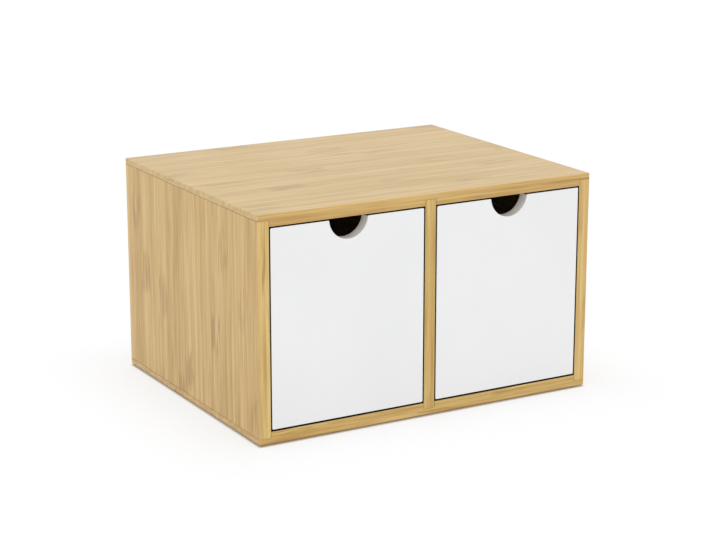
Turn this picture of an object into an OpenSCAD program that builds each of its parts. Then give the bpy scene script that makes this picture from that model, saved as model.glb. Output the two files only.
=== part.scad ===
// Desktop chest with two drawers side by side in a bamboo case.
// The origin is the centre of the footprint on the table; the drawers open towards -Y.

/* [Case] */
// Width across the two side panels
body_w = 370; // [300:5:440]
// Depth from the front edges to the back
body_d = 296; // [220:4:360]
// Height over everything, with the pads underneath
body_h = 222; // [160:1:280]
// Thickness of the top, bottom, side and divider boards
board_t = 12; // [10:0.5:16]
// Wood of the top and bottom boards left over the ends of the side panels
lip_t = 6; // [4:0.5:8]
// Depth of the slot in the top and bottom boards that houses the divider
dado_depth = 6; // [3:0.5:7]

/* [Back] */
// Thickness of the back panel
back_t = 5; // [3:0.5:8]
// How far the back panel reaches over the rear edge of each board
back_lap = 6; // [4:0.5:7]
// Shank diameter of the nails that hold the back panel
nail_d = 1.2; // [0.8:0.1:1.6]
// Length of the nails
nail_l = 18; // [14:1:24]
// Head diameter of the nails
nail_head_d = 2.6; // [2:0.1:3.4]
// Head thickness of the nails
nail_head_t = 0.8; // [0.5:0.1:1.2]
// Distance from the corners of the case to the first nail
nail_inset = 30; // [20:1:50]

/* [Pads] */
// Diameter of the round pads under the bottom board
pad_d = 18; // [12:1:24]
// Thickness of the pads
pad_t = 1.5; // [1:0.25:4]
// Distance from the edges of the case to the rim of a pad
pad_inset = 12; // [6:1:30]

/* [Drawer fronts] */
// Thickness of a drawer front
front_t = 12; // [10:0.5:16]
// Distance of the fronts behind the front edges of the case
front_setback = 0.3; // [0:0.1:2]
// Gap left and right of a drawer front
front_side_gap = 1.3; // [0.8:0.1:2.5]
// Gap above a drawer front
front_top_gap = 1.4; // [0.8:0.1:2.5]
// Gap below a drawer front
front_bottom_gap = 1.7; // [1:0.1:3]
// Radius of the corners of a drawer front
front_corner_r = 1.5; // [0.5:0.1:3]
// Radius of the half-moon finger notch
notch_r = 20.8; // [15:0.2:26]
// Height of the notch's centre above the top edge of the front
notch_rise = 1.1; // [0:0.1:3]
// Radius of the two rounded points beside the notch
notch_lead_r = 1.2; // [0.6:0.1:3]

/* [Drawer boxes] */
// Thickness of a drawer's sides and back
side_t = 8; // [7:0.5:12]
// Clearance between a drawer's side and the case
side_gap = 1.5; // [0.8:0.1:3]
// Running clearance under a drawer
run_gap = 0.3; // [0.2:0.1:1]
// Clearance between a closed drawer and the back panel
rear_gap = 0.7; // [0.4:0.1:4]
// How far a drawer's sides stay below the top edge of its front
side_drop = 24; // [10:1:40]
// Thickness of a drawer's bottom panel
floor_t = 4; // [3:0.5:6]
// Depth of the grooves that hold the bottom panel
groove_depth = 4; // [2:0.5:5]
// Height of the bottom panel above the lower edge of the drawer's sides
floor_rise = 8; // [5:0.5:14]

/* [Dowels] */
// Diameter of the dowels
dowel_d = 5; // [4:0.5:6]
// Length of a dowel inside the end of a drawer's side or back
dowel_l = 16; // [10:1:24]
// Depth of the blind dowel holes in a drawer front
dowel_seat = 8; // [5:0.5:9]
// Distance from the edges of a drawer's side to the nearest dowel
dowel_inset = 28; // [20:1:40]
// Dowels at each corner of a drawer
dowels = 3; // [2:1:4]

/* [Hidden] */
$fn = 96;
cut = 1;

// Case: levels and faces
front_y = -body_d / 2;
back_y = body_d / 2;
top_z = body_h;
floor_z = pad_t + board_t;
ceiling_z = top_z - board_t;
case_inner_x = body_w / 2 - board_t;
divider_z0 = floor_z - dado_depth;
divider_h = ceiling_z + dado_depth - divider_z0;
back_x = case_inner_x + back_lap;
back_z0 = floor_z - back_lap;
back_h = ceiling_z + back_lap - back_z0;
back_front_y = back_y - back_t;

// Compartments, one each side of the divider
bay_w = case_inner_x - board_t / 2;
left_x = -(board_t + bay_w) / 2;
right_x = -left_x;

// Drawer front
front_w = bay_w - 2 * front_side_gap;
front_z0 = floor_z + front_bottom_gap;
front_h = ceiling_z - front_top_gap - front_z0;
front_face_y = front_y + front_setback;
front_back_y = front_face_y + front_t;

// Drawer box behind the front
box_w = bay_w - 2 * side_gap;
box_z0 = floor_z + run_gap;
box_h = front_z0 + front_h - side_drop - box_z0;
box_end_y = back_front_y - rear_gap;
box_l = box_end_y - front_back_y;
box_inner_w = box_w - 2 * side_t;
panel_z0 = box_z0 + floor_rise;

// Nail places: along the rear edge of each board, in the middle of the lap
lap_x = case_inner_x + back_lap / 2;
lap_z0 = floor_z - back_lap / 2;
lap_z1 = ceiling_z + back_lap / 2;
nail_x = body_w / 2 - nail_inset;
nail_z = [top_z / 3, top_z * 2 / 3];
nail_places = [
  for (z = [lap_z0, lap_z1], i = [0 : 3]) [nail_x * (2 * i / 3 - 1), z],
  for (x = [-lap_x, 0, lap_x], z = nail_z) [x, z]
];

// Dowel heights at the corners of a drawer
dowel_step = (box_h - 2 * dowel_inset) / (dowels - 1);
dowel_heights = [for (i = [0 : dowels - 1]) box_z0 + dowel_inset + i * dowel_step];

// A full-depth board of the case, before anything is cut from it
module case_board(x0, z0, w, h) {
  translate([x0, front_y, z0])
    cube([w, body_d, h]);
}

// Blank of one side panel: side is -1 for the left, 1 for the right
module side_blank(side) {
  x0 = side < 0 ? -body_w / 2 : case_inner_x;
  case_board(x0, pad_t + lip_t, board_t, body_h - pad_t - 2 * lip_t);
}

// Blank of the divider, which ends against the back panel
module divider_blank() {
  translate([-board_t / 2, front_y, divider_z0])
    cube([board_t, body_d - back_t, divider_h]);
}

// Blank of the back panel, let in flush behind the boards
module back_blank() {
  translate([-back_x, back_front_y, back_z0])
    cube([2 * back_x, back_t, back_h]);
}

// One round-headed nail, driven in from the rear
module nail() {
  rotate([90, 0, 0])
    union() {
      cylinder(d = nail_d, h = nail_l);
      cylinder(d = nail_head_d, h = nail_head_t);
    }
}

// All nails of the back panel, where they sit
module nail_set() {
  for (p = nail_places)
    translate([p[0], back_y, p[1]])
      nail();
}

// Everything that is let into the top and bottom boards
module board_cuts() {
  side_blank(-1);
  side_blank(1);
  divider_blank();
  back_blank();
  nail_set();
}

module top_board() {
  color("BurlyWood")
    difference() {
      case_board(-body_w / 2, ceiling_z, body_w, board_t);
      board_cuts();
    }
}

module bottom_board() {
  color("BurlyWood")
    difference() {
      case_board(-body_w / 2, pad_t, body_w, board_t);
      board_cuts();
    }
}

module side_panel(side) {
  color("Tan")
    difference() {
      side_blank(side);
      back_blank();
      nail_set();
    }
}

module centre_divider() {
  color("Tan")
    difference() {
      divider_blank();
      nail_set();
    }
}

module back_panel() {
  color("Wheat")
    difference() {
      back_blank();
      nail_set();
    }
}

module back_panel_nails() {
  color("Goldenrod")
    nail_set();
}

module base_pads() {
  pad_x = body_w / 2 - pad_inset - pad_d / 2;
  pad_y = body_d / 2 - pad_inset - pad_d / 2;
  color("DimGray")
    for (x = [-pad_x, pad_x], y = [-pad_y, pad_y])
      translate([x, y, 0])
        cylinder(d = pad_d, h = pad_t);
}

// Outline of a drawer front, with its top edge on y = 0
module front_outline() {
  inner_w = front_w / 2 - front_corner_r;
  difference() {
    union() {
      translate([-front_w / 2, front_corner_r - front_h])
        square([front_w, front_h - 2 * front_corner_r]);
      translate([-inner_w, -front_h])
        square([2 * inner_w, front_h]);
      for (x = [-inner_w, inner_w], y = [-front_corner_r, front_corner_r - front_h])
        translate([x, y])
          circle(front_corner_r);
    }
    notch_outline();
  }
}

// Half-moon notch below y = 0, with the point at each end rounded over
module notch_outline() {
  lead_x = sqrt(pow(notch_r + notch_lead_r, 2) - pow(notch_rise + notch_lead_r, 2));
  translate([0, notch_rise])
    circle(notch_r);
  for (side = [-1, 1])
    difference() {
      polygon([
        [0, notch_rise],
        [side * lead_x, -notch_lead_r],
        [side * lead_x, cut],
        [0, cut]
      ]);
      translate([side * lead_x, -notch_lead_r])
        circle(notch_lead_r);
    }
}

// Bottom panel of the drawer whose middle is at x
module floor_blank(x) {
  w = box_inner_w + 2 * groove_depth;
  l = box_l - side_t + 2 * groove_depth;
  translate([x - w / 2, front_back_y - groove_depth, panel_z0])
    cube([w, l, floor_t]);
}

// Dowels between the front and the ends of the two sides
module front_dowel_set(x) {
  for (side = [-1, 1], z = dowel_heights)
    translate([x + side * (box_w - side_t) / 2, front_back_y - dowel_seat, z])
      rotate([-90, 0, 0])
        cylinder(d = dowel_d, h = dowel_seat + dowel_l);
}

// Dowels driven through the sides into the ends of the back
module back_dowel_set(x) {
  for (side = [-1, 1], z = dowel_heights)
    translate([x + side * box_w / 2, box_end_y - side_t / 2, z])
      rotate([0, -side * 90, 0])
        cylinder(d = dowel_d, h = side_t + dowel_l);
}

module drawer_front(x) {
  color("WhiteSmoke")
    difference() {
      translate([x, front_back_y, front_z0 + front_h])
        rotate([90, 0, 0])
          linear_extrude(front_t)
            front_outline();
      floor_blank(x);
      front_dowel_set(x);
    }
}

module drawer_side(x, side) {
  x0 = side < 0 ? x - box_w / 2 : x + box_w / 2 - side_t;
  color("Wheat")
    difference() {
      translate([x0, front_back_y, box_z0])
        cube([side_t, box_l, box_h]);
      floor_blank(x);
      front_dowel_set(x);
      back_dowel_set(x);
    }
}

module drawer_back(x) {
  color("Wheat")
    difference() {
      translate([x - box_inner_w / 2, box_end_y - side_t, box_z0])
        cube([box_inner_w, side_t, box_h]);
      floor_blank(x);
      back_dowel_set(x);
    }
}

module drawer_bottom(x) {
  color("Moccasin")
    floor_blank(x);
}

module front_dowels(x) {
  color("Peru")
    front_dowel_set(x);
}

module back_dowels(x) {
  color("Peru")
    back_dowel_set(x);
}

top_board();
bottom_board();
side_panel(-1);  // left_side_panel
side_panel(1);  // right_side_panel
centre_divider();
back_panel();
back_panel_nails();
base_pads();
drawer_front(left_x);  // left_drawer_front
drawer_side(left_x, -1);  // left_drawer_left_side
drawer_side(left_x, 1);  // left_drawer_right_side
drawer_back(left_x);  // left_drawer_back
drawer_bottom(left_x);  // left_drawer_bottom
front_dowels(left_x);  // left_drawer_front_dowels
back_dowels(left_x);  // left_drawer_back_dowels
drawer_front(right_x);  // right_drawer_front
drawer_side(right_x, -1);  // right_drawer_left_side
drawer_side(right_x, 1);  // right_drawer_right_side
drawer_back(right_x);  // right_drawer_back
drawer_bottom(right_x);  // right_drawer_bottom
front_dowels(right_x);  // right_drawer_front_dowels
back_dowels(right_x);  // right_drawer_back_dowels
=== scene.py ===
"""Desktop chest with two drawers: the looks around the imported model.

Every length is in metres, in the frame of the model: +X to the right as seen from the front,
+Y towards the back panel, +Z up, with the origin on the table under the middle of the case.
"""

import logging
import math
from collections.abc import Callable
from dataclasses import dataclass, replace
from enum import Enum
from functools import cache

import bmesh
import bpy
import numpy as np
from mathutils import Euler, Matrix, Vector


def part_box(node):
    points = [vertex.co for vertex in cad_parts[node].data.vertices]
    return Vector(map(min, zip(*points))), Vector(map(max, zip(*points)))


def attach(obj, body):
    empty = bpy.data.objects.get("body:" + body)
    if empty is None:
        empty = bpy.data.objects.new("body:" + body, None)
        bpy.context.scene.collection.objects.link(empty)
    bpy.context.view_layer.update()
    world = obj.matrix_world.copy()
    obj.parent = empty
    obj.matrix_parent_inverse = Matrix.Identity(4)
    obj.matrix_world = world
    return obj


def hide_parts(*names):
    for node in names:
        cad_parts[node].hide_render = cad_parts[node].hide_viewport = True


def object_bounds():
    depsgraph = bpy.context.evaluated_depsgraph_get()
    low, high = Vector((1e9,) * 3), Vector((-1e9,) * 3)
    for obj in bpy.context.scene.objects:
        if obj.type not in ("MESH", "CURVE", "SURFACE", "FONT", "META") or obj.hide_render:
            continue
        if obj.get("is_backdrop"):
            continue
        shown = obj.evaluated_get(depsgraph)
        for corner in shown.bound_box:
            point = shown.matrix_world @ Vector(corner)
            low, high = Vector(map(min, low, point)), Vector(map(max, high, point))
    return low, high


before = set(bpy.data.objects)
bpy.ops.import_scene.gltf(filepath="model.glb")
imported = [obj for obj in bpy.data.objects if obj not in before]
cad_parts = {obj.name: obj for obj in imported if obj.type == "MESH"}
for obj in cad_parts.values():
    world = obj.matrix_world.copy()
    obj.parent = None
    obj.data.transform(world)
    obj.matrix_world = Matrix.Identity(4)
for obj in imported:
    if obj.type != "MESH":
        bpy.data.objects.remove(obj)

LOG = logging.getLogger("chest")
MM = 0.001

# Points nearer than this become one
WELD = 0.002 * MM
# Angle past which an edge stays sharp
SHARP = math.radians(35)
# Faces and points this close count as level
HAIR = 0.01 * MM
# Largest arris behind a rear step, and how far it reaches along Y
REAR_EASE = 0.3 * MM
REAR_REACH = 1.0 * MM
# What a corner's radius has over the ease of its edges, so that its arc never turns inside out
CORNER_SPARE = 0.15 * MM
# Length of an edge, past its largest ease, over which a neighbour's ease fades
EDGE_RUN = 0.2 * MM
# Y part of the normal of a face that lies along Y
EDGEWAYS = 0.1

Colour = tuple[float, float, float]


class Grain(Enum):
    """Direction of a board's fibres, as the turn that brings them to the pattern's X axis.

    The pattern runs along X, lays its strips side by side along Y and its plies along Z.
    """

    ALONG_X_FACE_UP = (0.0, 0.0, 0.0)
    ALONG_X_FACE_FRONT = (math.pi / 2, 0.0, 0.0)
    ALONG_Y_FACE_UP = (0.0, 0.0, math.pi / 2)
    ALONG_Y_FACE_SIDE = (math.pi / 2, 0.0, math.pi / 2)
    ALONG_Z_FACE_SIDE = (0.0, math.pi / 2, 0.0)


def srgb(*parts: int) -> Colour:
    """Turns a colour written in 0 to 255 into the linear values that shaders take.

    Args:
        *parts: Its red, green and blue.

    Returns:
        The three linear parts, from 0 to 1.
    """
    share = np.array(parts) / 255
    linear = np.where(share <= 0.04045, share / 12.92, ((share + 0.055) / 1.055) ** 2.4)
    return tuple(float(part) for part in linear)


def operator_of(operation: str, swapped: bool = False) -> Callable[["Value", object], "Value"]:
    """Makes an operator of Value, which adds a Math node.

    Args:
        operation: The node's operation.
        swapped: Whether the value stands behind the operator.

    Returns:
        The operator's method.
    """

    def method(value: "Value", other: object) -> "Value":
        """Adds the node."""
        return value.graph.math(operation, *((other, value) if swapped else (value, other)))

    return method


@dataclass(frozen=True)
class Value:
    """An output of a node, which can stand in a formula.

    Attributes:
        graph: The graph of the node.
        socket: The output's socket.
    """

    graph: "Graph"
    socket: bpy.types.NodeSocket

    __add__ = operator_of("ADD")
    __sub__ = operator_of("SUBTRACT")
    __rsub__ = operator_of("SUBTRACT", swapped=True)
    __mul__ = operator_of("MULTIPLY")
    __truediv__ = operator_of("DIVIDE")
    __pow__ = operator_of("POWER")

    def clamped(self) -> "Value":
        """Keeps the result of the Math node that gives the value from 0 to 1."""
        self.socket.node.use_clamp = True
        return self


@dataclass(frozen=True)
class Node:
    """A node of a graph, whose outputs are taken by name or number.

    Attributes:
        graph: The graph.
        node: The node itself.
    """

    graph: "Graph"
    node: bpy.types.Node

    def __getitem__(self, key: str | int) -> Value:
        """Takes an output."""
        return Value(self.graph, self.node.outputs[key])

    def feed(self, inputs: dict[str | int, object]) -> "Node":
        """Joins inputs to values of the graph, and sets those that are given anything else.

        Args:
            inputs: What each input is fed, by its name or number.

        Returns:
            The node.
        """
        for key, source in inputs.items():
            socket = self.node.inputs[key]
            if isinstance(source, Value):
                self.graph.tree.links.new(source.socket, socket)
            elif isinstance(source, tuple) and socket.type == "RGBA":
                socket.default_value = (*source, 1.0)
            else:
                socket.default_value = source
        return self


@dataclass(frozen=True)
class Graph:
    """A node tree with short calls for placing and joining nodes.

    Attributes:
        tree: The node tree that is filled.
    """

    tree: bpy.types.NodeTree

    def existing(self, name: str) -> Node:
        """Takes a node that the tree has already."""
        return Node(self, self.tree.nodes[name])

    def put(self, kind: str, inputs: dict[str | int, object] | None = None,
            **settings: object) -> Node:
        """Adds a node.

        Args:
            kind: The node's type name.
            inputs: What its inputs are fed, by name or number.
            **settings: Its properties by name.

        Returns:
            The node.
        """
        node = self.tree.nodes.new(kind)
        for name, value in settings.items():
            setattr(node, name, value)
        return Node(self, node).feed(inputs or {})

    def group(self, tree: bpy.types.NodeTree, **values: object) -> Node:
        """Places a node group.

        Args:
            tree: The group.
            **values: What its inputs are fed by name, with _ for a space.

        Returns:
            The group's node.
        """
        inputs = {name.replace("_", " "): value for name, value in values.items()}
        return self.put("ShaderNodeGroup", inputs, node_tree=tree)

    def math(self, operation: str, *sources: object) -> Value:
        """Adds a Math node, whose sources are values or numbers in the node's order."""
        return self.put("ShaderNodeMath", dict(enumerate(sources)), operation=operation)[0]

    def parts(self, vector: Value) -> list[Value]:
        """Splits a vector into X, Y and Z."""
        split = self.put("ShaderNodeSeparateXYZ", {0: vector})
        return [split[i] for i in range(3)]

    def vector(self, *parts: object) -> Value:
        """Joins X, Y and Z into a vector."""
        return self.put("ShaderNodeCombineXYZ", dict(enumerate(parts)))[0]

    def ramp(self, value: object, low: float, high: float, start: float = 0.0,
             end: float = 1.0) -> Value:
        """Adds a smooth step of a value from one range to another.

        Args:
            value: Value or number that is mapped.
            low: Value at which the result is start.
            high: Value at which the result is end.
            start: Result at and below low.
            end: Result at and above high.

        Returns:
            The result.
        """
        inputs = {"Value": value, "From Min": low, "From Max": high, "To Min": start, "To Max": end}
        return self.put("ShaderNodeMapRange", inputs, interpolation_type="SMOOTHSTEP")["Result"]

    def mix(self, share: object, first: object, second: object) -> Value:
        """Adds a mix of two colours, the first at share 0 and the second at share 1."""
        inputs = {"Factor": share, 6: first, 7: second}
        return self.put("ShaderNodeMix", inputs, data_type="RGBA")[2]

    def noise(self, place: Value, along: float, across: float | None = None,
              detail: float = 2.0) -> Value:
        """Adds a cloud pattern, which can be drawn out along X.

        Args:
            place: Place on the surface.
            along: Features per metre along X.
            across: Features per metre along Y and Z, or None for as many as along X.
            detail: Octaves of finer detail.

        Returns:
            The pattern's value, about 0.5 on the average.
        """
        scale = (along, across or along, across or along)
        scaled = self.put("ShaderNodeVectorMath", {0: place, 1: scale}, operation="MULTIPLY")
        inputs = {"Scale": 1.0, "Detail": detail, "Vector": scaled[0]}
        return self.put("ShaderNodeTexNoise", inputs)[0]

    def bump(self, height: Value, strength: float, depth: float) -> Value:
        """Adds a relief of a height pattern, and gives the normals on it."""
        inputs = {"Strength": strength, "Distance": depth, "Height": height}
        return self.put("ShaderNodeBump", inputs)[0]


def open_group(name: str, inputs: dict[str, float | None]) -> tuple[Graph, Node]:
    """Starts a shader node group.

    Args:
        name: Name of the group.
        inputs: Default of each number that goes in, by its name, or None for a vector.

    Returns:
        The group's Graph and its input node.
    """
    tree = bpy.data.node_groups.new(name, "ShaderNodeTree")
    for label, default in inputs.items():
        kind = "NodeSocketVector" if default is None else "NodeSocketFloat"
        socket = tree.interface.new_socket(label, in_out="INPUT", socket_type=kind)
        if default is not None:
            socket.default_value = default
    graph = Graph(tree)
    return graph, graph.put("NodeGroupInput")


def closed_group(graph: Graph, **outputs: Value) -> bpy.types.NodeTree:
    """Gives a shader node group its outputs, all of them numbers.

    Args:
        graph: The group's Graph.
        **outputs: What comes out, by name.

    Returns:
        The group.
    """
    for label in outputs:
        graph.tree.interface.new_socket(label, in_out="OUTPUT", socket_type="NodeSocketFloat")
    graph.put("NodeGroupOutput", outputs)
    return graph.tree


@cache
def bamboo_strips() -> bpy.types.NodeTree:
    """Makes the pattern of laminated bamboo: strips, fibres, growth nodes and glue lines.

    A strip's number is the floor of Y over the strip's width, shifted in each ply. Its tone is a
    random number for that strip, to which slow bands and fine fibres are added, both drawn out
    along X. Growth nodes repeat along X with a random start in each strip, as short dark and
    light streaks that fade with the distance to the node.

    Returns:
        The node group, with the outputs Tone, Hue, Marks, Seam and Height.
    """
    graph, given = open_group("bamboo_strips", {
        "Vector": None, "Strip Width": 0.02, "Ply": 0.004, "Node Spacing": 0.24, "Seed": 0.0})
    place, spacing, seed = given["Vector"], given["Node Spacing"], given["Seed"]
    along, across, through = graph.parts(place)
    depth = graph.math("MULTIPLY_ADD", through, 0.996, 0.02 * MM)
    ply = graph.math("FLOOR", depth / given["Ply"])
    lanes = across / given["Strip Width"] + (ply * 0.37 + seed * 7.31)
    strip = graph.math("FLOOR", lanes)
    in_strip = graph.math("FRACT", lanes)

    dice = graph.put("ShaderNodeTexWhiteNoise", {"Vector": graph.vector(strip, ply, seed)},
                     noise_dimensions="3D")
    rolls = graph.put("ShaderNodeSeparateColor", {0: dice["Color"]})
    offset = graph.vector(dice["Value"] * 3.0, 0.0, strip * 0.013)
    own = graph.put("ShaderNodeVectorMath", {0: place, 1: offset}, operation="ADD")[0]
    broad = graph.noise(own, 2.0, 62.0, 1.0)
    bands = graph.noise(own, 3.6, 135.0)
    fibres = graph.noise(own, 16.0, 620.0)
    clouds = graph.noise(place, 9.0, 16.0, 1.0)

    turns = (along + rolls[0] * spacing) / spacing
    from_node = graph.math("ABSOLUTE", graph.math("FRACT", turns) - 0.5) * spacing
    wobble = graph.noise(own, 45.0, 300.0) - 0.5
    from_node = graph.math("MULTIPLY_ADD", wobble, 0.035, from_node)
    near_node = graph.ramp(from_node, 0.01, 0.027, 1.0, 0.0) * graph.ramp(rolls[1], 0.15, 0.85)
    streaks = graph.noise(own, 24.0, 290.0, 1.0)
    marks = (near_node * graph.ramp(streaks, 0.4, 0.56)).clamped()

    to_seam = graph.math("MINIMUM", in_strip, 1.0 - in_strip)
    seam = graph.ramp(to_seam, 0.0, 0.05, 1.0, 0.0) * graph.ramp(bands, 0.4, 0.62)
    tone = graph.math("MULTIPLY_ADD", dice["Value"], 0.3, 0.35)
    for cloud, weight in ((broad, 0.8), (bands, 2.0), (fibres, 2.2), (clouds, 0.4)):
        tone = graph.math("MULTIPLY_ADD", cloud - 0.5, weight, tone)
    tone = (tone + near_node * graph.ramp(streaks, 0.3, 0.46, 0.35, 0.0)).clamped()
    lean = graph.noise(own, 3.0, 230.0, 1.0) - 0.5
    hue = graph.math("MULTIPLY_ADD", lean, 1.6, rolls[2]).clamped()
    height = fibres - marks * 0.6 - seam * 0.5
    return closed_group(graph, Tone=tone, Hue=hue, Marks=marks, Seam=seam, Height=height)


@cache
def handled_satin() -> bpy.types.NodeTree:
    """Makes the uneven sheen of a surface that has been sprayed and handled.

    Roughness is the base value plus a slow cloud and a fine one; Ripple is the fine skin of the
    lacquer, for a Bump node.

    Returns:
        The node group, with the outputs Roughness and Ripple.
    """
    graph, given = open_group("handled_satin", {"Vector": None, "Base": 0.4, "Spread": 0.1})
    place = given["Vector"]
    swing = graph.noise(place, 14.0) * 0.7 + graph.noise(place, 380.0) * 0.3 - 0.5
    rough = (given["Base"] + swing * given["Spread"]).clamped()
    return closed_group(graph, Roughness=rough, Ripple=graph.noise(place, 520.0, detail=1.0))


@cache
def arris_highlight() -> bpy.types.NodeTree:
    """Makes a mask of the eased edges, on which a paler colour is painted as a highlight.

    A flat face looks along an axis, so that the largest part of its normal is 1, while on an
    arris it falls to 0.707. Patches along the edge vary the mask.

    Returns:
        The node group, with the output Mask.
    """
    graph, given = open_group("arris_highlight", {"Vector": None, "Normal": None, "Amount": 0.5})
    x, y, z = (graph.math("ABSOLUTE", part) for part in graph.parts(given["Normal"]))
    largest = graph.math("MAXIMUM", graph.math("MAXIMUM", x, y), z)
    rounded_off = graph.ramp(largest, 0.8, 0.97, 1.0, 0.0)
    patches = graph.ramp(graph.noise(given["Vector"], 40.0), 0.3, 0.7, 0.7, 1.0)
    return closed_group(graph, Mask=(rounded_off * patches * given["Amount"]).clamped())


@cache
def crevice_shade() -> bpy.types.NodeTree:
    """Makes a mask of narrow gaps and inner corners, into which a dark shade is painted.

    With s the share of open sky that a point sees within Reach, the mask is Amount times a
    smooth step of 1 - s ** 2, so that it is 0 on faces that see nearly all of it.

    Returns:
        The node group, with the output Mask.
    """
    graph, given = open_group("crevice_shade", {"Reach": 3 * MM, "Amount": 0.98})
    sky = graph.put("ShaderNodeAmbientOcclusion", {"Distance": given["Reach"]}, samples=6)
    shut = graph.ramp(1.0 - sky["AO"] ** 2.0, 0.15, 0.7)
    return closed_group(graph, Mask=(shut * given["Amount"]).clamped())


def start_material(name: str) -> tuple[bpy.types.Material, Node, Node]:
    """Starts a material with its surface shader and the places on the surface.

    Args:
        name: Name of the material.

    Returns:
        The material, its Principled shader and a Texture Coordinate node.
    """
    material = bpy.data.materials.new(name)
    material.use_nodes = True
    graph = Graph(material.node_tree)
    return material, graph.existing("Principled BSDF"), graph.put("ShaderNodeTexCoord")


@dataclass(frozen=True)
class Coat:
    """The lacquer over a board, with highlights painted on its arrises and shade painted in gaps.

    Attributes:
        roughness: Roughness on the average.
        spread: How far handling swings it.
        clear: Weight of the clear layer on top.
        clear_roughness: Roughness of that layer.
        specular: Level of the reflection under it.
        highlight_amount: How strongly the highlight painted on the arrises pales them.
        relief: Strength of the relief.
        depth: Depth of the relief.
    """

    roughness: float = 0.42
    spread: float = 0.16
    clear: float = 0.12
    clear_roughness: float = 0.3
    specular: float = 0.5
    highlight_amount: float = 0.3
    relief: float = 0.35
    depth: float = 0.08 * MM

    def lay(self, shader: Node, place: Value, normal: Value,
            colours: tuple[Value, Colour, Colour], height: Value | None = None) -> None:
        """Lays the coat over a board's colour.

        On the arrises a paler colour is painted as a highlight. In a gap the colour turns to a
        painted dark shade, the roughness rises to the shade's mask and the clear layer fades with
        1 - mask.

        Args:
            shader: The material's surface shader.
            place: Place on the board.
            normal: Direction that the surface faces.
            colours: Colour of the board, of the highlight painted on its arrises and of the shade
            painted in its gaps.
            height: Relief of the board, or None for the coat's own ripple.
        """
        graph = shader.graph
        satin = graph.group(handled_satin(), Vector=place, Base=self.roughness, Spread=self.spread)
        # Paint a paler highlight on the arrises
        arris = graph.group(arris_highlight(), Vector=place, Normal=normal, Amount=self.highlight_amount)
        # Paint a dark shade into narrow gaps and inner corners
        gaps = graph.group(crevice_shade())
        board, highlight_colour, gap_shade = colours
        shader.feed({
            "Base Color": graph.mix(gaps["Mask"], graph.mix(arris["Mask"], board, highlight_colour), gap_shade),
            "Roughness": graph.math("MAXIMUM", satin["Roughness"], gaps["Mask"]),
            "Coat Weight": (1.0 - gaps["Mask"]) * self.clear,
            "Coat Roughness": self.clear_roughness,
            "Specular IOR Level": self.specular,
            "Normal": graph.bump(height or satin["Ripple"], self.relief, self.depth),
        })


@dataclass(frozen=True)
class BambooFinish:
    """Bamboo board under a thin clear lacquer.

    Attributes:
        pale: Colour of the palest strips on the broad faces.
        deep: Colour of the deepest strips there.
        mark: Colour of the growth nodes.
        edge_pale: Colour of the palest fibres on the front and rear edges.
        edge_deep: Colour of the deepest fibres there.
        warm: Colour that some plies lean to.
        highlight_colour: Colour of the highlight painted on the arrises.
        gap_shade: Colour of the shade painted into gaps and inner corners.
        contrast: How strongly the strips differ.
        mark_share: How strongly the growth nodes show.
        seam_share: How strongly the glue lines show.
        strip_width: Width of one strip.
        node_spacing: Distance between growth nodes along a strip.
        coat: The lacquer.
    """

    pale: Colour
    deep: Colour
    mark: Colour
    edge_pale: Colour
    edge_deep: Colour
    warm: Colour = srgb(221, 170, 116)
    # Colours of the highlight painted on the arrises and of the shade painted into the gaps
    highlight_colour: Colour = srgb(236, 208, 156)
    gap_shade: Colour = srgb(34, 16, 2)
    contrast: float = 1.0
    mark_share: float = 0.6
    seam_share: float = 0.3
    strip_width: float = 20 * MM
    node_spacing: float = 240 * MM
    coat: Coat = Coat()

    def material(self, name: str, grain: Grain, corner: Vector, seed: float) -> bpy.types.Material:
        """Makes this finish for one board.

        Args:
            name: Name of the material.
            grain: Direction of the board's fibres.
            corner: A corner of the board, from which its strips and plies are counted.
            seed: Number that gives the board strips of its own.

        Returns:
            The material.
        """
        material, shader, texture = start_material(name)
        graph = shader.graph
        place = graph.put("ShaderNodeMapping", {
            "Location": corner, "Rotation": grain.value, "Vector": texture["Object"],
        }, vector_type="TEXTURE")[0]
        strips = graph.group(bamboo_strips(), Vector=place, Strip_Width=self.strip_width,
                             Node_Spacing=self.node_spacing, Seed=seed)
        on_edge = graph.ramp(graph.math("ABSOLUTE", graph.parts(texture["Normal"])[1]), 0.55, 0.85)
        tone = ((strips["Tone"] - 0.5) * self.contrast + 0.5).clamped()
        colour = graph.mix(on_edge, graph.mix(tone, self.deep, self.pale),
                           graph.mix(tone, self.edge_deep, self.edge_pale))
        lean = strips["Hue"] * graph.ramp(on_edge, 0.0, 1.0, 0.12, 0.36)
        for share, tint in ((lean, self.warm), (strips["Marks"] * self.mark_share, self.mark),
                            (strips["Seam"] * self.seam_share, self.mark)):
            colour = graph.mix(share, colour, tint)
        self.coat.lay(shader, place, texture["Normal"], (colour, self.highlight_colour, self.gap_shade),
                      strips["Height"])
        return material


@dataclass(frozen=True)
class LacquerFinish:
    """Sprayed satin lacquer in one colour.

    Attributes:
        colour: Colour of the lacquer.
        shade: Its colour where the coat is a little thinner.
        highlight_colour: Colour of the highlight painted on its arrises.
        gap_shade: Colour of the shade painted into gaps and inner corners.
        coat: Its sheen and relief.
    """

    colour: Colour
    shade: Colour
    # Colours of the highlight painted on the arrises and of the shade painted into the gaps
    highlight_colour: Colour = srgb(250, 250, 250)
    gap_shade: Colour = srgb(52, 30, 8)
    coat: Coat = Coat(roughness=0.36, spread=0.12, clear=0.15, clear_roughness=0.25, highlight_amount=0.6,
                      relief=0.12, depth=0.05 * MM)

    def material(self, name: str) -> bpy.types.Material:
        """Makes this finish.

        Args:
            name: Name of the material.

        Returns:
            The material.
        """
        material, shader, texture = start_material(name)
        graph, place = shader.graph, texture["Object"]
        colour = graph.mix(graph.ramp(graph.noise(place, 7.0), 0.3, 0.7), self.shade, self.colour)
        self.coat.lay(shader, place, texture["Normal"], (colour, self.highlight_colour, self.gap_shade))
        return material


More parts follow.
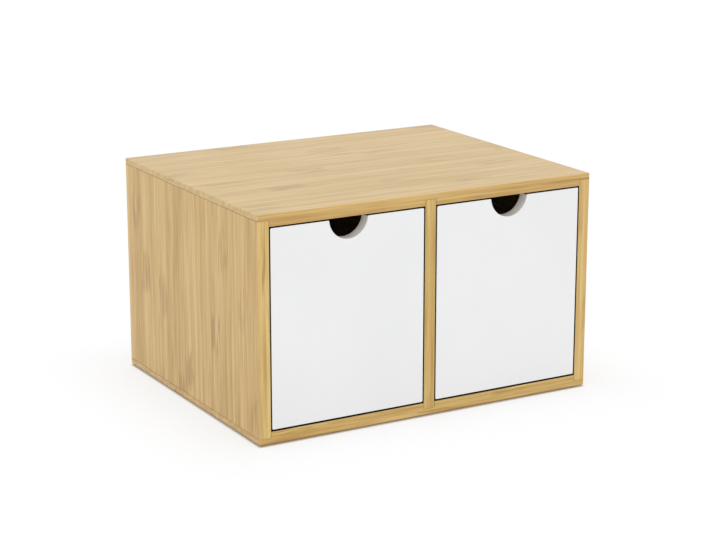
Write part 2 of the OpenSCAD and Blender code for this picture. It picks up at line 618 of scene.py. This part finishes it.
@dataclass(frozen=True)
class SpeckledFinish:
    """A plain surface with a fine speckle: end grain, rubber or a plated nail head.

    Attributes:
        pale: Colour between the speckles.
        deep: Colour of the speckles.
        grains: Speckles per metre.
        roughness: Roughness of the surface.
        metallic: 1 on metal, 0 elsewhere.
        relief: Depth of the speckles.
    """

    pale: Colour
    deep: Colour
    grains: float
    roughness: float
    metallic: float = 0.0
    relief: float = 0.05 * MM

    def material(self, name: str) -> bpy.types.Material:
        """Makes this finish.

        Args:
            name: Name of the material.

        Returns:
            The material.
        """
        material, shader, texture = start_material(name)
        graph, place = shader.graph, texture["Object"]
        speckle = graph.noise(place, self.grains, detail=3.0)
        satin = graph.group(handled_satin(), Vector=place, Base=self.roughness, Spread=0.2)
        shader.feed({
            "Base Color": graph.mix(graph.ramp(speckle, 0.38, 0.6), self.deep, self.pale),
            "Roughness": satin["Roughness"],
            "Normal": graph.bump(speckle, 0.4, self.relief),
            "Metallic": self.metallic,
        })
        return material


RAW_WOOD = Coat(roughness=0.8, clear=0.0, specular=0.0)
# Each board has its own tints: partly its own tone, partly painted light, with the top board's
# broad faces paler as if lit from above and the side panels' deeper as if in shade
CASE_BAMBOO = BambooFinish(
    pale=srgb(216, 184, 122), deep=srgb(187, 150, 84), mark=srgb(152, 108, 42),
    edge_pale=srgb(222, 194, 118), edge_deep=srgb(176, 134, 53), mark_share=0.5,
)
DIVIDER_BAMBOO = replace(CASE_BAMBOO, edge_pale=srgb(209, 183, 108), edge_deep=srgb(178, 139, 62))
SIDE_BAMBOO = BambooFinish(
    pale=srgb(216, 184, 119), deep=srgb(182, 145, 75), mark=srgb(148, 105, 36),
    edge_pale=srgb(219, 193, 121), edge_deep=srgb(187, 151, 79), mark_share=0.5,
)
TOP_BAMBOO = BambooFinish(
    pale=srgb(218, 189, 130), deep=srgb(190, 158, 96), mark=srgb(156, 120, 58),
    edge_pale=srgb(210, 184, 104), edge_deep=srgb(163, 125, 47), contrast=0.9, mark_share=0.45,
)
DRAWER_BAMBOO = BambooFinish(
    pale=srgb(226, 204, 164), deep=srgb(200, 173, 128), mark=srgb(166, 134, 90),
    edge_pale=srgb(216, 190, 146), edge_deep=srgb(184, 152, 104), coat=Coat(roughness=0.52),
)
THIN_BAMBOO = BambooFinish(
    pale=srgb(226, 205, 168), deep=srgb(206, 181, 138), mark=srgb(172, 142, 98),
    edge_pale=srgb(214, 188, 144), edge_deep=srgb(180, 148, 100), strip_width=24 * MM,
    coat=Coat(roughness=0.55),
)
WHITE = (1.0, 1.0, 1.0)
WHITE_LACQUER = LacquerFinish(colour=srgb(236, 236, 236), shade=srgb(233, 233, 233))
DOWEL_END = SpeckledFinish(srgb(196, 160, 110), srgb(138, 100, 58), 1600.0, 0.6)
PAD_RUBBER = SpeckledFinish(srgb(46, 45, 44), srgb(34, 33, 32), 900.0, 0.8)
NAIL_BRASS = SpeckledFinish(srgb(204, 170, 104), srgb(168, 132, 76), 1200.0, 0.32, 1.0, 0.01 * MM)


def in_scene(name: str, data: bpy.types.ID) -> bpy.types.Object:
    """Makes a new object of the scene.

    Args:
        name: Name of the object.
        data: The mesh, light or camera that it shows.

    Returns:
        The object.
    """
    thing = bpy.data.objects.new(name, data)
    bpy.context.scene.collection.objects.link(thing)
    return thing


def as_object(name: str, points: np.ndarray, faces: list[list[int]]) -> bpy.types.Object:
    """Puts points and faces into a new smooth-shaded object at the origin.

    Args:
        name: Name of the piece.
        points: Vertices, one row each.
        faces: Vertex numbers of each face.

    Returns:
        The object.
    """
    mesh = bpy.data.meshes.new(name)
    mesh.from_pydata(points.tolist(), [], faces)
    shell = bmesh.new()
    shell.from_mesh(mesh)
    bmesh.ops.remove_doubles(shell, verts=shell.verts, dist=WELD)
    shell.to_mesh(mesh)
    shell.free()
    mesh.shade_smooth()
    mesh.set_sharp_from_angle(angle=SHARP)
    piece = in_scene(name, mesh)
    normals = piece.modifiers.new("even_normals", "WEIGHTED_NORMAL")
    normals.keep_sharp = True
    return piece


def corners_of(node: str) -> tuple[np.ndarray, np.ndarray]:
    """Finds the lowest and the highest corner of a node of the model."""
    low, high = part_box(node)
    return np.array(low), np.array(high)


def front_corners(low: np.ndarray, high: np.ndarray) -> np.ndarray:
    """Lists the corners of a box in XZ, anticlockwise as seen from the front.

    Args:
        low: Lowest corner of the box.
        high: Highest corner of the box.

    Returns:
        Four points.
    """
    return np.array([[low[0], low[2]], [high[0], low[2]], [high[0], high[2]], [low[0], high[2]]])


def mitres(outline: np.ndarray) -> np.ndarray:
    """Finds the outward step at each point of an outline that moves both its edges by one.

    With n1 and n2 the outward normals of the edges before and after a point, the step is
    (n1 + n2) / (1 + n1 . n2).

    Args:
        outline: Points of a closed outline, anticlockwise.

    Returns:
        One step per point.
    """
    ahead = np.roll(outline, -1, axis=0) - outline
    ahead /= np.linalg.norm(ahead, axis=1, keepdims=True)
    normal = np.column_stack([ahead[:, 1], -ahead[:, 0]])
    before = np.roll(normal, 1, axis=0)
    return (normal + before) / (1 + np.sum(normal * before, axis=1, keepdims=True))


def carried(name: str, outline: np.ndarray, ease: np.ndarray, near: float, far: float,
            rear_clip: tuple[float, np.ndarray, np.ndarray] | None = None,
            steps: int = 4) -> bpy.types.Object:
    """Carries an outline in XZ from near to far along Y, with a round arris at both ends.

    At turn a, from 0 to 90 degrees, the outline is drawn in by ease times (1 - sin a) and lies
    ease times (1 - cos a) inside the end. Behind a rear step, the outline is clipped to a
    rectangle, which is how a board is rebated for the back panel.

    Args:
        name: Name of the piece.
        outline: Points in XZ, anticlockwise as seen from the front.
        ease: Radius of the end arris at each point.
        near: Y of the front end.
        far: Y of the rear end.
        rear_clip: Y of the step, and lowest and highest corner of what is left behind it.
        steps: Facets across an arris.

    Returns:
        The object.
    """
    turn = np.linspace(0, math.pi / 2, steps + 1)[:, None]
    drawn_in = ease * (1 - np.sin(turn))
    inside = ease * (1 - np.cos(turn))
    front = outline[None] - mitres(outline)[None] * drawn_in[..., None]
    if rear_clip is None:
        rear, middle = front[::-1], []
    else:
        step, low, high = rear_clip
        small = np.minimum(drawn_in, REAR_EASE)[..., None][::-1]
        inside = np.minimum(inside, REAR_REACH)
        rear = np.clip(outline[None], low + small, high - small)
        middle = [(outline, step), (np.clip(outline, low, high), step)]
    rings = [np.insert(ring, 1, near + depth, axis=1) for ring, depth in zip(front, inside)]
    rings += [np.insert(ring, 1, depth, axis=1) for ring, depth in middle]
    rings += [np.insert(ring, 1, far - depth, axis=1) for ring, depth in zip(rear, inside[::-1])]
    points = np.concatenate(rings)
    count, rows = len(outline), len(rings)
    start = np.arange(count)
    ahead = (start + 1) % count
    floor = np.arange(rows - 1)[:, None] * count
    quads = np.stack([floor + start, floor + count + start, floor + count + ahead,
                      floor + ahead], -1)
    caps = [start.tolist(), (start[::-1] + (rows - 1) * count).tolist()]
    return as_object(name, points, quads.reshape(-1, 4).tolist() + caps)


def rounded(corners: np.ndarray, radii: np.ndarray, eases: np.ndarray,
            arc: int = 4) -> tuple[np.ndarray, np.ndarray]:
    """Rounds the corners of an outline and says how round its ends are at each point.

    A corner becomes an arc that touches both its edges at radius times tan(turn / 2) from it.
    Each edge also has a point at both its ends, at which the edge's own ease begins, so that
    neighbours with other eases keep them.

    Args:
        corners: Corners of the outline, anticlockwise.
        radii: Radius of each corner, 0 for a sharp one.
        eases: Ease of the edge that starts at each corner.
        arc: Facets on a rounded corner.

    Returns:
        The outline's points and the ease at each.
    """
    ahead = np.roll(corners, -1, axis=0) - corners
    length = np.linalg.norm(ahead, axis=1)
    ahead /= length[:, None]
    behind = np.roll(ahead, 1, axis=0)
    points, ease = [], []
    for i, corner in enumerate(corners):
        low = min(eases[i - 1], eases[i])
        radius = max(radii[i], low + CORNER_SPARE)
        lead = min(radius + eases.max() + EDGE_RUN, 0.4 * length[i])
        cross = behind[i][0] * ahead[i][1] - behind[i][1] * ahead[i][0]
        if radii[i] > 0 and cross > 0:
            centre = corner - behind[i] * radius + ahead[i] * radius
            sweep = np.linspace(0, math.pi / 2, arc + 1)[:, None]
            turn = centre - ahead[i] * radius * np.cos(sweep) + behind[i] * radius * np.sin(sweep)
        else:
            turn = corner[None]
        after = corner + ahead[i] * lead
        before_next = corner + ahead[i] * (length[i] - lead)
        points += [turn, after[None], before_next[None]]
        ease += [low] * len(turn) + [eases[i]] * 2
    return np.concatenate(points), np.array(ease)


def turned(name: str, profile: np.ndarray, centres: np.ndarray, axis: Vector,
           sides: int) -> bpy.types.Object:
    """Turns a profile about an axis at each of several places.

    A point of the surface is the centre, plus the profile's height along the axis, plus its
    radius times (u cos a + v sin a), with u and v square to the axis. The profile starts and
    ends on the axis, where a fan of triangles closes it.

    Args:
        name: Name of the piece.
        profile: Radius and height of each point, from the lower pole to the upper one.
        centres: Places, one row each.
        axis: Direction of the axis.
        sides: Facets round the axis.

    Returns:
        The object.
    """
    along = np.array(axis.normalized())
    across = np.array(axis.orthogonal().normalized())
    third = np.cross(along, across)
    angle = np.linspace(0, 2 * math.pi, sides, endpoint=False)
    spoke = np.outer(np.cos(angle), across) + np.outer(np.sin(angle), third)
    rings = profile[1:-1, 0, None, None] * spoke + profile[1:-1, 1, None, None] * along
    poles = profile[[0, -1], 1, None] * along
    one = np.concatenate([rings.reshape(-1, 3), poles])
    rows = len(profile) - 2
    start = np.arange(sides)
    ahead = (start + 1) % sides
    floor = np.arange(rows - 1)[:, None] * sides
    quads = np.stack([floor + start, floor + ahead, floor + sides + ahead,
                      floor + sides + start], -1)
    low = np.stack([ahead, start, np.full(sides, rows * sides)], -1)
    top = (rows - 1) * sides
    high = np.stack([top + start, top + ahead, np.full(sides, rows * sides + 1)], -1)
    ahead_of = (np.arange(len(centres)) * len(one))[:, None, None]
    faces = [(ahead_of + kind).reshape(-1, kind.shape[1]).tolist()
             for kind in (quads.reshape(-1, 4), low, high)]
    points = (centres[:, None] + one[None]).reshape(-1, 3)
    return as_object(name, points, sum(faces, []))


def pin(radius: float, foot: float, end: float, rise: float) -> np.ndarray:
    """Works out the profile of a pin whose upper end is a low dome.

    Args:
        radius: Radius of the pin.
        foot: Height of its lower end.
        end: Height at which the dome starts.
        rise: Height of the dome.

    Returns:
        Radius and height of each point, from the lower pole to the upper one.
    """
    dome = np.linspace(0, math.pi / 2, 6)
    cap = np.column_stack([radius * np.cos(dome), end + rise * np.sin(dome)])
    cap[-1, 0] = 0
    return np.concatenate([[[0, foot], [radius, foot]], cap])


def dressed(piece: bpy.types.Object, material: bpy.types.Material, body: str, slot: str,
            *nodes: str) -> None:
    """Gives a piece its material, its body and the nodes that it stands for.

    Args:
        piece: The piece.
        material: Its material.
        body: The body that it moves with.
        slot: Name of a material slot, which is not used.
        *nodes: The model's nodes that it replaces.
    """
    piece.data.materials.append(material)
    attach(piece, body)
    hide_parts(*nodes)
    LOG.info("%s: %d faces, on %s", piece.name, len(piece.data.polygons), body)


def repainted(node: str, material: bpy.types.Material) -> None:
    """Gives a node of the model, whose shape stays, a finished material.

    Args:
        node: Name of the node.
        material: Its material.
    """
    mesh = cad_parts[node].data
    mesh.materials.clear()
    mesh.materials.append(material)
    LOG.info("%s: kept, with %s", node, material.name)


def solid_boxes(node: str) -> np.ndarray:
    """Finds the lowest and highest corner of each separate solid of a node.

    Args:
        node: Name of the node.

    Returns:
        Two rows for each solid: its lowest and its highest corner.
    """
    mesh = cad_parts[node].data
    places = np.zeros(len(mesh.vertices) * 3)
    mesh.vertices.foreach_get("co", places)
    places = places.reshape(-1, 3)
    corners = np.zeros(len(mesh.loops), dtype=int)
    mesh.loops.foreach_get("vertex_index", corners)
    tris = corners.reshape(-1, 3)
    _, same = np.unique(np.round(places / HAIR).astype(int), axis=0, return_inverse=True)
    same = same.reshape(-1)
    label = np.arange(same.max() + 1)
    linked = same[tris]
    while True:
        least = label[linked].min(axis=1)
        fresh = label.copy()
        np.minimum.at(fresh, linked, least[:, None].repeat(3, axis=1))
        if np.array_equal(fresh, label):
            break
        label = fresh
    solids = [places[label[same] == owner] for owner in np.unique(label)]
    return np.array([(solid.min(axis=0), solid.max(axis=0)) for solid in solids])


@dataclass
class Case:
    """The bamboo case: five boards, the back panel, its nails and the pads.

    Attributes:
        body: Name of the body that all of it belongs to.
        arris: Radius of the open edges.
        joint_arris: Radius of the edges that meet another board.
        nail_dome: Height of a nail head's dome over the back panel.
        nail_sunk: Depth of a nail head in the back panel.
        pad_rim: Radius of the pads' lower edge.
    """

    body: str = "case"
    arris: float = 0.6 * MM
    joint_arris: float = 0.3 * MM
    nail_dome: float = 0.25 * MM
    nail_sunk: float = 0.8 * MM
    pad_rim: float = 0.4 * MM

    def __post_init__(self) -> None:
        """Reads the boxes of the boards."""
        self.box = {name: corners_of(name) for name in (
            "top_board", "bottom_board", "left_side_panel", "right_side_panel",
            "centre_divider", "back_panel")}

    def faced(self, piece: bpy.types.Object, name: str, finish: BambooFinish, grain: Grain,
              seed: float) -> None:
        """Finishes a board, and leaves its faces towards the drawers as raw wood.

        A face lines a compartment where its centre lies between the side panels and between the
        bottom and the top board, and it doesn't look along Y.

        Args:
            piece: The board.
            name: Name of the node.
            finish: The board's finish.
            grain: Direction of the board's fibres.
            seed: Number that gives the board strips of its own.
        """
        corner = Vector(self.box[name][0])
        raw = replace(finish, coat=RAW_WOOD)
        dressed(piece, finish.material(name, grain, corner, seed), self.body, "bamboo_case", name)
        piece.data.materials.append(raw.material(name + "_raw", grain, corner, seed))
        faces = piece.data.polygons
        centre, normal = np.empty((2, len(faces) * 3))
        faces.foreach_get("center", centre)
        faces.foreach_get("normal", normal)
        x, _, z = centre.reshape(-1, 3).T
        between = np.abs(x) < HAIR - self.box["left_side_panel"][1][0]
        above = z > self.box["bottom_board"][1][2] - HAIR
        below = z < self.box["top_board"][0][2] + HAIR
        lining = between & above & below & (np.abs(normal[1::3]) < EDGEWAYS)
        faces.foreach_set("material_index", lining.astype(np.int32))
        LOG.info("%s: %d faces left raw", name, lining.sum())

    def level_board(self, name: str, up: bool, finish: BambooFinish, seed: float) -> None:
        """Builds the top or the bottom board, with its rebates and its slot.

        The outline is a rectangle with a rebate at each end, over the side panels, and a slot in
        the middle for the divider. For the bottom board it is mirrored about the board's middle.

        Args:
            name: Name of the node.
            up: True for the top board, whose rebates face down.
            finish: The board's finish.
            seed: Number that gives the board strips of its own.
        """
        low, high = self.box[name]
        side_low, side_high = self.box["left_side_panel"]
        split_low, split_high = self.box["centre_divider"]
        end_x, inner_x, slot_x = high[0], -side_high[0], split_high[0]
        outer, face = (high[2], low[2]) if up else (low[2], high[2])
        lip = side_high[2] if up else side_low[2]
        slot = split_high[2] if up else split_low[2]
        right = np.array([[slot_x, slot], [slot_x, face], [inner_x, face], [inner_x, lip],
                          [end_x, lip], [end_x, outer]])
        corners = np.concatenate([right, right[::-1] * (-1, 1)])
        big, small = self.arris, self.joint_arris
        radii = np.array([0, small, small, 0, small, big, big, small, 0, small, small, 0])
        eases = np.array([small, big, small, small, big, big, big, small, small, big, small, small])
        if not up:
            corners, radii = corners[::-1], radii[::-1]
            eases = np.roll(eases[::-1], -1)
        outline, ease = rounded(corners, radii, eases)
        panel_low, panel_high = self.box["back_panel"]
        left_low, left_high = (panel_high[2], high[2]) if up else (low[2], panel_low[2])
        piece = carried(name + "_eased", outline, ease, low[1], high[1], (
            panel_low[1], np.array([low[0], left_low]), np.array([high[0], left_high])))
        self.faced(piece, name, finish, Grain.ALONG_X_FACE_UP, seed)

    def upright_board(self, name: str, seed: float) -> None:
        """Builds a side panel or the divider.

        Args:
            name: Name of the node.
            seed: Number that gives the board strips of its own.
        """
        low, high = self.box[name]
        corners = front_corners(low, high)
        big, small = self.arris, self.joint_arris
        outline, ease = rounded(corners, np.full(4, small), np.array([small, big, small, big]))
        clip, finish = None, DIVIDER_BAMBOO
        if name != "centre_divider":
            finish = SIDE_BAMBOO
            panel_low, panel_high = self.box["back_panel"]
            left = high[0] < 0
            clip_low = np.array([low[0] if left else panel_high[0], low[2]])
            clip_high = np.array([panel_low[0] if left else high[0], high[2]])
            clip = (panel_low[1], clip_low, clip_high)
        piece = carried(name + "_eased", outline, ease, low[1], high[1], clip)
        self.faced(piece, name, finish, Grain.ALONG_Z_FACE_SIDE, seed)

    def back(self) -> None:
        """Builds the back panel and the nails that hold it."""
        low, high = self.box["back_panel"]
        corners = front_corners(low, high)
        outline, ease = rounded(corners, np.full(4, self.joint_arris), np.full(4, self.joint_arris))
        piece = carried("back_panel_eased", outline, ease, low[1], high[1])
        material = THIN_BAMBOO.material("back_panel", Grain.ALONG_X_FACE_FRONT, Vector(low), 5.0)
        dressed(piece, material, self.body, "thin_panel", "back_panel")
        nails = solid_boxes("back_panel_nails")
        head = np.median(np.ptp(nails, axis=1), axis=0)[0]
        places = nails.mean(axis=1)
        places[:, 1] = high[1]
        profile = pin(head / 2, -self.nail_sunk, 0, self.nail_dome)
        piece = turned("back_panel_nail_heads", profile, places, Vector((0, 1, 0)), 24)
        dressed(piece, NAIL_BRASS.material("nail_brass"), self.body, "nail_steel",
                "back_panel_nails")

    def pads(self) -> None:
        """Builds the round pads, with a softened rim."""
        found = solid_boxes("base_pads")
        width, _, height = np.median(np.ptp(found, axis=1), axis=0)
        radius = width / 2
        places = found.mean(axis=1)
        places[:, 2] = found[:, 0, 2]
        turn = np.linspace(0, math.pi / 2, 5)
        arc = np.column_stack([radius - self.pad_rim * (1 - np.sin(turn)),
                               self.pad_rim * (1 - np.cos(turn))])
        profile = np.concatenate([[[0, 0]], arc, [[radius, height], [0, height]]])
        piece = turned("base_pads_round", profile, places, Vector((0, 0, 1)), 48)
        dressed(piece, PAD_RUBBER.material("pad_rubber"), self.body, "pad_rubber", "base_pads")

    def build(self) -> None:
        """Builds all of the case."""
        self.level_board("top_board", True, TOP_BAMBOO, 1.0)
        self.level_board("bottom_board", False, CASE_BAMBOO, 2.0)
        for seed, name in ((3.0, "left_side_panel"), (4.0, "right_side_panel"),
                           (6.0, "centre_divider")):
            self.upright_board(name, seed)
        self.back()
        self.pads()


@dataclass
class Drawer:
    """One drawer: its white front, its box and its dowels.

    Attributes:
        body: Name of the drawer's body, which its nodes' names start with.
        lacquer: Material of the front.
        dowel: Material of the dowels.
        seed: Number that gives its boards strips of their own.
        front_arris: Radius of the front's edges.
        box_arris: Radius of the box's open edges.
        notch_r: Radius of the finger notch.
        notch_rise: Height of the notch's centre over the front's top edge.
        lead_r: Radius of the points beside the notch.
        corner_r: Radius of the front's corners.
        dowel_dome: Height of a dowel end's dome over the drawer's side.
    """

    body: str
    lacquer: bpy.types.Material
    dowel: bpy.types.Material
    seed: float
    front_arris: float = 0.3 * MM
    box_arris: float = 1.1 * MM
    notch_r: float = 20.8 * MM
    notch_rise: float = 1.1 * MM
    lead_r: float = 1.2 * MM
    corner_r: float = 1.5 * MM
    dowel_dome: float = 0.12 * MM

    def front_outline(self, low: np.ndarray, high: np.ndarray) -> np.ndarray:
        """Works out the outline of the front, with its round corners and its notch.

        The notch is an arc of notch_r about a centre over the top edge. It meets the top edge
        in two arcs of lead_r, whose centres lie notch_r + lead_r from its own and lead_r below
        the edge.

        Args:
            low: Lowest corner of the front.
            high: Highest corner of the front.

        Returns:
            Points in XZ, anticlockwise as seen from the front.
        """
        middle = (low[0] + high[0]) / 2
        inset = self.corner_r
        quarter = np.linspace(0, math.pi / 2, 7)

        def arc(x: float, z: float, radius: float, angles: np.ndarray) -> np.ndarray:
            """Points on a circle about x, z at the angles."""
            return np.column_stack([x + radius * np.cos(angles), z + radius * np.sin(angles)])

        drop = self.notch_rise + self.lead_r
        lead_x = math.sqrt((self.notch_r + self.lead_r) ** 2 - drop ** 2)
        dip = math.atan2(drop, lead_x)
        lead_z = high[2] - self.lead_r
        right_tip = arc(middle + lead_x, lead_z, self.lead_r,
                        np.linspace(math.pi / 2, math.pi - dip, 7))
        bowl = arc(middle, high[2] + self.notch_rise, self.notch_r,
                   np.linspace(-dip, dip - math.pi, 61))[1:-1]
        left_tip = arc(middle - lead_x, lead_z, self.lead_r, np.linspace(dip, math.pi / 2, 7))
        return np.concatenate([
            arc(low[0] + inset, low[2] + inset, inset, quarter + math.pi),
            arc(high[0] - inset, low[2] + inset, inset, quarter - math.pi / 2),
            arc(high[0] - inset, high[2] - inset, inset, quarter),
            right_tip, bowl, left_tip,
            arc(low[0] + inset, high[2] - inset, inset, quarter + math.pi / 2),
        ])

    def front(self) -> None:
        """Builds the white front."""
        node = self.body + "_front"
        low, high = corners_of(node)
        outline = self.front_outline(low, high)
        ease = np.full(len(outline), self.front_arris)
        piece = carried(node + "_lacquered", outline, ease, low[1], high[1])
        dressed(piece, self.lacquer, self.body, "white_lacquer", node)

    def board(self, part: str, grain: Grain, seed: float, meets: tuple[bool, ...]) -> None:
        """Builds a side or the back of the drawer's box.

        Args:
            part: End of the node's name.
            grain: Direction of the board's fibres.
            seed: Number that gives the board strips of its own.
            meets: For the lower, right, upper and left edge, whether it meets another board.
        """
        node = f"{self.body}_{part}"
        low, high = corners_of(node)
        corners = front_corners(low, high)
        edges = np.where(meets, CORNER_SPARE, self.box_arris)
        radii = np.minimum(edges, np.roll(edges, 1))
        outline, ease = rounded(corners, radii, edges)
        piece = carried(node + "_eased", outline, ease, low[1], high[1])
        material = DRAWER_BAMBOO.material(node, grain, Vector(low), self.seed + seed)
        dressed(piece, material, self.body, "bamboo_drawer", node)

    def dowel_ends(self) -> None:
        """Builds the dowels that show as flush, slightly domed ends on the drawer's sides."""
        node = self.body + "_back_dowels"
        found = solid_boxes(node)
        length, _, width = np.median(np.ptp(found, axis=1), axis=0)
        profile = pin(width / 2, 0, length, self.dowel_dome)
        middle = found[..., 0].mean()
        for side, name in ((-1, "left"), (1, "right")):
            rows = found[np.sign(found[..., 0].mean(axis=1) - middle) == side]
            places = rows.mean(axis=1)
            places[:, 0] = rows[:, 1 if side < 0 else 0, 0]
            piece = turned(f"{self.body}_{name}_dowel_ends", profile, places,
                           Vector((side, 0, 0)), 28)
            dressed(piece, self.dowel, self.body, "dowel_wood", node)

    def build(self) -> None:
        """Builds the drawer."""
        self.front()
        self.board("left_side", Grain.ALONG_Y_FACE_SIDE, 0.1, (False,) * 4)
        self.board("right_side", Grain.ALONG_Y_FACE_SIDE, 0.2, (False,) * 4)
        self.board("back", Grain.ALONG_X_FACE_FRONT, 0.3, (False, True, False, True))
        self.dowel_ends()
        panel = self.body + "_bottom"
        low = corners_of(panel)[0]
        repainted(panel, THIN_BAMBOO.material(
            panel, Grain.ALONG_Y_FACE_UP, Vector(low), self.seed + 0.4))
        repainted(self.body + "_front_dowels", self.dowel)


def seen_plainly(graph: Graph) -> Value:
    """Finds the rays that show a surface itself, which are camera, glossy and transmission rays.

    Args:
        graph: Graph of the surface or of the surroundings.

    Returns:
        A value that is 1 for such a ray and 0 for one that only lights other things.
    """
    path = graph.put("ShaderNodeLightPath")
    others = graph.math("MAXIMUM", path["Is Glossy Ray"], path["Is Transmission Ray"])
    return graph.math("MAXIMUM", path["Is Camera Ray"], others)


@dataclass
class Studio:
    """The floor, the lights, the surroundings and the camera.

    Attributes:
        image_size: Width and height of the photograph's frame in pixels.
        focal_px: Focal length in pixels.
        camera_at: Place of the camera.
        camera_turn: Turn to the right and tilt down, in degrees.
        daylight: Strength of the surroundings as a light.
        shadow_white: How much of the floor's white is its own beside the chest; far from the
            chest all of it is.
        contact_white: The same under the chest.
        contact_width: Width of the line along the chest where one turns into the other.
        shadow_width: Distance from the chest at which all the white is the floor's own.
        floor_half: Half the length of the floor's sides.
        floor_colour: Colour of the floor, which shows in the shadow.
        bounced: Colour of the light that the bamboo throws under the chest.
    """

    image_size: tuple[int, int] = (716, 540)
    focal_px: float = 2007.0
    camera_at: tuple[float, float, float] = (-0.9842, -1.7220, 0.6408)
    camera_turn: tuple[float, float] = (29.88, 14.91)
    sensor: float = 36.0
    daylight: float = 0.93
    shadow_white: float = 0.68
    contact_white: float = 0.3
    contact_width: float = 2 * MM
    shadow_width: float = 115 * MM
    floor_half: float = 6.0
    floor_colour: Colour = (0.955, 0.965, 0.98)
    bounced: Colour = srgb(214, 186, 140)

    def camera(self) -> None:
        """Places the camera at the photograph's angle."""
        data = bpy.data.cameras.new("camera")
        data.sensor_width = self.sensor
        data.lens = self.focal_px * self.sensor / self.image_size[0]
        camera = in_scene("camera", data)
        camera.location = self.camera_at
        turn, tilt = (math.radians(angle) for angle in self.camera_turn)
        camera.rotation_euler = Euler((math.pi / 2 - tilt, 0, -turn))
        bpy.context.scene.camera = camera

    def light(self, name: str, place: Vector, target: Vector, size: float, power: float) -> None:
        """Adds a square soft light.

        Args:
            name: Name of the light.
            place: Its middle.
            target: The point that it faces.
            size: Length of its sides.
            power: Its power in watts.
        """
        data = bpy.data.lights.new(name, "AREA")
        data.size = size
        data.energy = power
        lamp = in_scene(name, data)
        lamp.location = place
        lamp.rotation_euler = (target - place).to_track_quat("-Z", "Y").to_euler()

    def surroundings(self) -> None:
        """Sets a white backdrop for the camera and for reflections, and an even soft light."""
        world = bpy.data.worlds.new("studio")
        world.use_nodes = True
        bpy.context.scene.world = world
        graph = Graph(world.node_tree)
        strength = seen_plainly(graph) * (1 - self.daylight) + self.daylight
        graph.existing("Background").feed({"Color": WHITE, "Strength": strength})

    def floor(self) -> None:
        """Lays the pale floor, which turns to plain white away from the chest.

        The floor's own white is mixed in by the distance to the chest's footprint, so that the
        shadow close to it stays and fades outwards.
        """
        points = np.array([[-1, -1, 0], [1, -1, 0], [1, 1, 0], [-1, 1, 0]]) * self.floor_half
        mesh = bpy.data.meshes.new("floor")
        mesh.from_pydata(points.tolist(), [], [[0, 1, 2, 3]])
        ground = in_scene("floor", mesh)
        ground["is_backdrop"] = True
        material, shader, texture = start_material("studio_floor")
        graph = shader.graph
        shader.feed({"Base Color": self.floor_colour, "Roughness": 0.9, "Specular IOR Level": 0.1})
        beyond = [graph.math("MAXIMUM", graph.math("ABSOLUTE", part) - edge, 0.0)
                  for part, edge in zip(graph.parts(texture["Object"])[:2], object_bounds()[1])]
        away = graph.math("SQRT", beyond[0] ** 2.0 + beyond[1] ** 2.0)
        near = graph.ramp(away, 0.0, self.contact_width)
        rise = graph.ramp(away, 0.0, self.contact_width, self.contact_white, self.shadow_white)
        share = rise + graph.ramp(away, 0.0, self.shadow_width, 0.0, 1 - self.shadow_white)
        # Close to the chest the floor's glow takes the bamboo's colour, a painted bounce light
        white = graph.put("ShaderNodeEmission", {"Color": graph.mix(near, self.bounced, WHITE)})
        blend = graph.put("ShaderNodeMixShader", {
            0: share * seen_plainly(graph), 1: shader[0], 2: white[0]})
        graph.existing("Material Output").feed({"Surface": blend[0]})
        mesh.materials.append(material)

    def build(self) -> None:
        """Builds the studio."""
        middle = Vector((0, 0, 0.1))
        self.camera()
        self.surroundings()
        self.floor()
        self.light("overhead", Vector((-0.3, -0.5, 1.9)), middle, size=1.6, power=3.0)
        self.light("front", Vector((-0.5, -2.2, 1.0)), middle, size=1.4, power=4.0)


def main() -> None:
    logging.basicConfig(level=logging.INFO, format="%(name)s: %(message)s")
    bpy.context.scene.view_settings.view_transform = "Standard"
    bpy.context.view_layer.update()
    Case().build()
    lacquer = WHITE_LACQUER.material("white_lacquer")
    dowel = DOWEL_END.material("dowel_wood")
    for seed, body in ((10.0, "left_drawer"), (20.0, "right_drawer")):
        Drawer(body, lacquer, dowel, seed).build()
    Studio().build()


if __name__ == "__main__":
    main()
